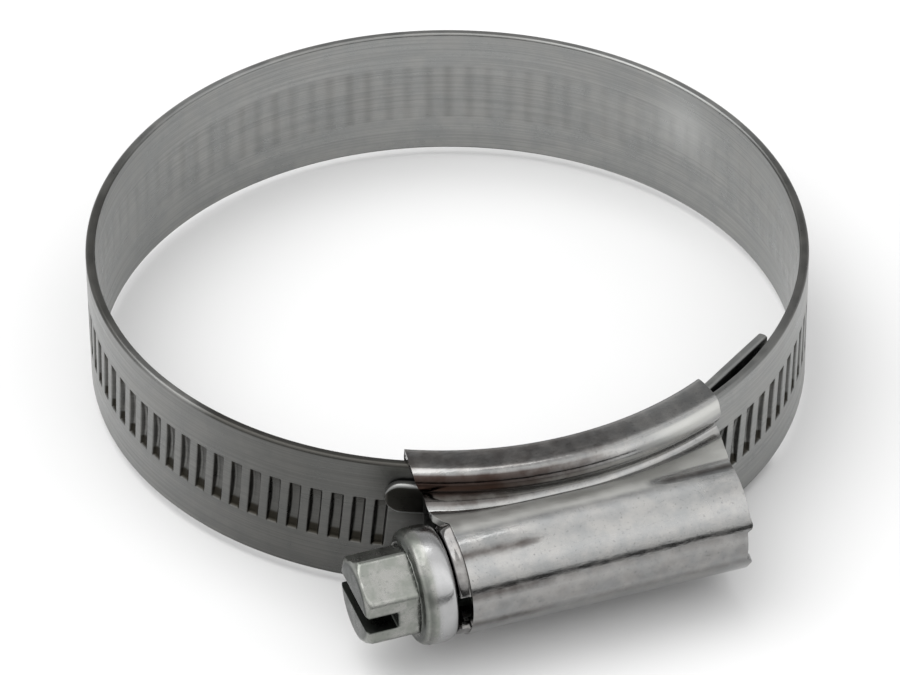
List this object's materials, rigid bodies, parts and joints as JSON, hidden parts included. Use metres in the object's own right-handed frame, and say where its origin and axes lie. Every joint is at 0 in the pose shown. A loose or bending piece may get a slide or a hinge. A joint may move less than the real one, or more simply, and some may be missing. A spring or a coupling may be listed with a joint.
{
  "type": "worm drive hose clamp",
  "caption": "Worm-drive hose clamp: a slotted steel strip bent into a ring, a pressed housing and a hex-headed screw that draws the free end through.",
  "frame": {"origin": "centre of the hose that the clamp seats on, halfway along the strip's width", "axes": "+Z along the hose's axis, the housing at -Y, the screw's axis along X with its head at -X"},
  "size_m": [0.0632, 0.0726, 0.0148],
  "materials": {
    "plated_strip": "zinc plated, rolled, fine lines along the strip",
    "plated_pressing": "bright zinc plate on a pressed sheet",
    "plated_screw": "dull zinc plate on a machined screw"
  },
  "bodies": {
    "root": {"housing": "plated_pressing", "band_fixed_end": "plated_strip"},
    "free_end": {"band_free_end": "plated_strip"},
    "screw": {"worm_screw": "plated_screw"},
    "section_01": {"band_section_01": "plated_strip"},
    "section_02": {"band_section_02": "plated_strip"},
    "section_03": {"band_section_03": "plated_strip"},
    "section_04": {"band_section_04": "plated_strip"},
    "section_05": {"band_section_05": "plated_strip"},
    "section_06": {"band_section_06": "plated_strip"},
    "section_07": {"band_section_07": "plated_strip"},
    "section_08": {"band_section_08": "plated_strip"},
    "section_09": {"band_section_09": "plated_strip"},
    "section_10": {"band_section_10": "plated_strip"},
    "section_11": {"band_section_11": "plated_strip"},
    "section_12": {"band_section_12": "plated_strip"},
    "section_13": {"band_section_13": "plated_strip"},
    "section_14": {"band_section_14": "plated_strip"},
    "section_15": {"band_section_15": "plated_strip"},
    "section_16": {"band_section_16": "plated_strip"},
    "section_17": {"band_section_17": "plated_strip"},
    "section_18": {"band_section_18": "plated_strip"},
    "section_19": {"band_section_19": "plated_strip"},
    "section_20": {"band_section_20": "plated_strip"},
    "section_21": {"band_section_21": "plated_strip"},
    "section_22": {"band_section_22": "plated_strip"},
    "section_23": {"band_section_23": "plated_strip"},
    "section_24": {"band_section_24": "plated_strip"}
  },
  "joints": [
    {"name": "screw_turn", "type": "hinge", "parent": "root", "child": "screw", "pos_m": [0, -0.0364, 0], "axis": [1, 0, 0], "range_deg": [0, 12584]},
    {"name": "free_end_travel", "type": "hinge", "parent": "root", "child": "free_end", "pos_m": [-0.00015, -0.0007, 0], "axis": [0, 0, 1], "range_deg": [-121.01, 0]},
    {"name": "section_01_bend", "type": "hinge", "parent": "root", "child": "section_01", "pos_m": [-0.0035, -0.00157, 0], "axis": [0, 0, 1], "range_deg": [-110.52, 0]},
    {"name": "section_02_bend", "type": "hinge", "parent": "root", "child": "section_02", "pos_m": [-0.0066, -0.00275, 0], "axis": [0, 0, 1], "range_deg": [-101.47, 0]},
    {"name": "section_03_bend", "type": "hinge", "parent": "root", "child": "section_03", "pos_m": [-0.00939, -0.00418, 0], "axis": [0, 0, 1], "range_deg": [-93.75, 0]},
    {"name": "section_04_bend", "type": "hinge", "parent": "root", "child": "section_04", "pos_m": [-0.01181, -0.00574, 0], "axis": [0, 0, 1], "range_deg": [-87.22, 0]},
    {"name": "section_05_bend", "type": "hinge", "parent": "root", "child": "section_05", "pos_m": [-0.01385, -0.00736, 0], "axis": [0, 0, 1], "range_deg": [-81.75, 0]},
    {"name": "section_06_bend", "type": "hinge", "parent": "root", "child": "section_06", "pos_m": [-0.01551, -0.00893, 0], "axis": [0, 0, 1], "range_deg": [-77.22, 0]},
    {"name": "section_07_bend", "type": "hinge", "parent": "root", "child": "section_07", "pos_m": [-0.0168, -0.0104, 0], "axis": [0, 0, 1], "range_deg": [-73.5, 0]},
    {"name": "section_08_bend", "type": "hinge", "parent": "root", "child": "section_08", "pos_m": [-0.01778, -0.01172, 0], "axis": [0, 0, 1], "range_deg": [-70.46, 0]},
    {"name": "section_09_bend", "type": "hinge", "parent": "root", "child": "section_09", "pos_m": [-0.01848, -0.01287, 0], "axis": [0, 0, 1], "range_deg": [-67.98, 0]},
    {"name": "section_10_bend", "type": "hinge", "parent": "root", "child": "section_10", "pos_m": [-0.01898, -0.01385, 0], "axis": [0, 0, 1], "range_deg": [-65.93, 0]},
    {"name": "section_11_bend", "type": "hinge", "parent": "root", "child": "section_11", "pos_m": [-0.01933, -0.0147, 0], "axis": [0, 0, 1], "range_deg": [-64.18, 0]},
    {"name": "section_12_bend", "type": "hinge", "parent": "root", "child": "section_12", "pos_m": [-0.01957, -0.01546, 0], "axis": [0, 0, 1], "range_deg": [-62.6, 0]},
    {"name": "section_13_bend", "type": "hinge", "parent": "root", "child": "section_13", "pos_m": [-0.01973, -0.01617, 0], "axis": [0, 0, 1], "range_deg": [-61.07, 0]},
    {"name": "section_14_bend", "type": "hinge", "parent": "root", "child": "section_14", "pos_m": [-0.01983, -0.01689, 0], "axis": [0, 0, 1], "range_deg": [-59.46, 0]},
    {"name": "section_15_bend", "type": "hinge", "parent": "root", "child": "section_15", "pos_m": [-0.01987, -0.01766, 0], "axis": [0, 0, 1], "range_deg": [-57.65, 0]},
    {"name": "section_16_bend", "type": "hinge", "parent": "root", "child": "section_16", "pos_m": [-0.01984, -0.01849, 0], "axis": [0, 0, 1], "range_deg": [-55.49, 0]},
    {"name": "section_17_bend", "type": "hinge", "parent": "root", "child": "section_17", "pos_m": [-0.01972, -0.01942, 0], "axis": [0, 0, 1], "range_deg": [-52.87, 0]},
    {"name": "section_18_bend", "type": "hinge", "parent": "root", "child": "section_18", "pos_m": [-0.01948, -0.02044, 0], "axis": [0, 0, 1], "range_deg": [-49.67, 0]},
    {"name": "section_19_bend", "type": "hinge", "parent": "root", "child": "section_19", "pos_m": [-0.0191, -0.02155, 0], "axis": [0, 0, 1], "range_deg": [-45.74, 0]},
    {"name": "section_20_bend", "type": "hinge", "parent": "root", "child": "section_20", "pos_m": [-0.01855, -0.02273, 0], "axis": [0, 0, 1], "range_deg": [-40.98, 0]},
    {"name": "section_21_bend", "type": "hinge", "parent": "root", "child": "section_21", "pos_m": [-0.01781, -0.02393, 0], "axis": [0, 0, 1], "range_deg": [-35.23, 0]},
    {"name": "section_22_bend", "type": "hinge", "parent": "root", "child": "section_22", "pos_m": [-0.01686, -0.02513, 0], "axis": [0, 0, 1], "range_deg": [-28.4, 0]},
    {"name": "section_23_bend", "type": "hinge", "parent": "root", "child": "section_23", "pos_m": [-0.01569, -0.02628, 0], "axis": [0, 0, 1], "range_deg": [-20.33, 0]},
    {"name": "section_24_bend", "type": "hinge", "parent": "root", "child": "section_24", "pos_m": [-0.0143, -0.02732, 0], "axis": [0, 0, 1], "range_deg": [-10.91, 0]}
  ],
  "couplings": [
    {"joint": "free_end_travel", "follows": "screw_turn", "ratio": -0.0096154},
    {"joint": "section_01_bend", "follows": "screw_turn", "ratio": -0.0087817},
    {"joint": "section_02_bend", "follows": "screw_turn", "ratio": -0.008063},
    {"joint": "section_03_bend", "follows": "screw_turn", "ratio": -0.0074491},
    {"joint": "section_04_bend", "follows": "screw_turn", "ratio": -0.00693},
    {"joint": "section_05_bend", "follows": "screw_turn", "ratio": -0.0064955},
    {"joint": "section_06_bend", "follows": "screw_turn", "ratio": -0.0061356},
    {"joint": "section_07_bend", "follows": "screw_turn", "ratio": -0.00584},
    {"joint": "section_08_bend", "follows": "screw_turn", "ratio": -0.0055988},
    {"joint": "section_09_bend", "follows": "screw_turn", "ratio": -0.0054016},
    {"joint": "section_10_bend", "follows": "screw_turn", "ratio": -0.0052386},
    {"joint": "section_11_bend", "follows": "screw_turn", "ratio": -0.0050995},
    {"joint": "section_12_bend", "follows": "screw_turn", "ratio": -0.0049742},
    {"joint": "section_13_bend", "follows": "screw_turn", "ratio": -0.0048526},
    {"joint": "section_14_bend", "follows": "screw_turn", "ratio": -0.0047246},
    {"joint": "section_15_bend", "follows": "screw_turn", "ratio": -0.00458},
    {"joint": "section_16_bend", "follows": "screw_turn", "ratio": -0.0044088},
    {"joint": "section_17_bend", "follows": "screw_turn", "ratio": -0.0042009},
    {"joint": "section_18_bend", "follows": "screw_turn", "ratio": -0.0039461},
    {"joint": "section_19_bend", "follows": "screw_turn", "ratio": -0.0036343},
    {"joint": "section_20_bend", "follows": "screw_turn", "ratio": -0.0032553},
    {"joint": "section_21_bend", "follows": "screw_turn", "ratio": -0.0027992},
    {"joint": "section_22_bend", "follows": "screw_turn", "ratio": -0.0022557},
    {"joint": "section_23_bend", "follows": "screw_turn", "ratio": -0.0016147},
    {"joint": "section_24_bend", "follows": "screw_turn", "ratio": -0.00086622}
  ]
}
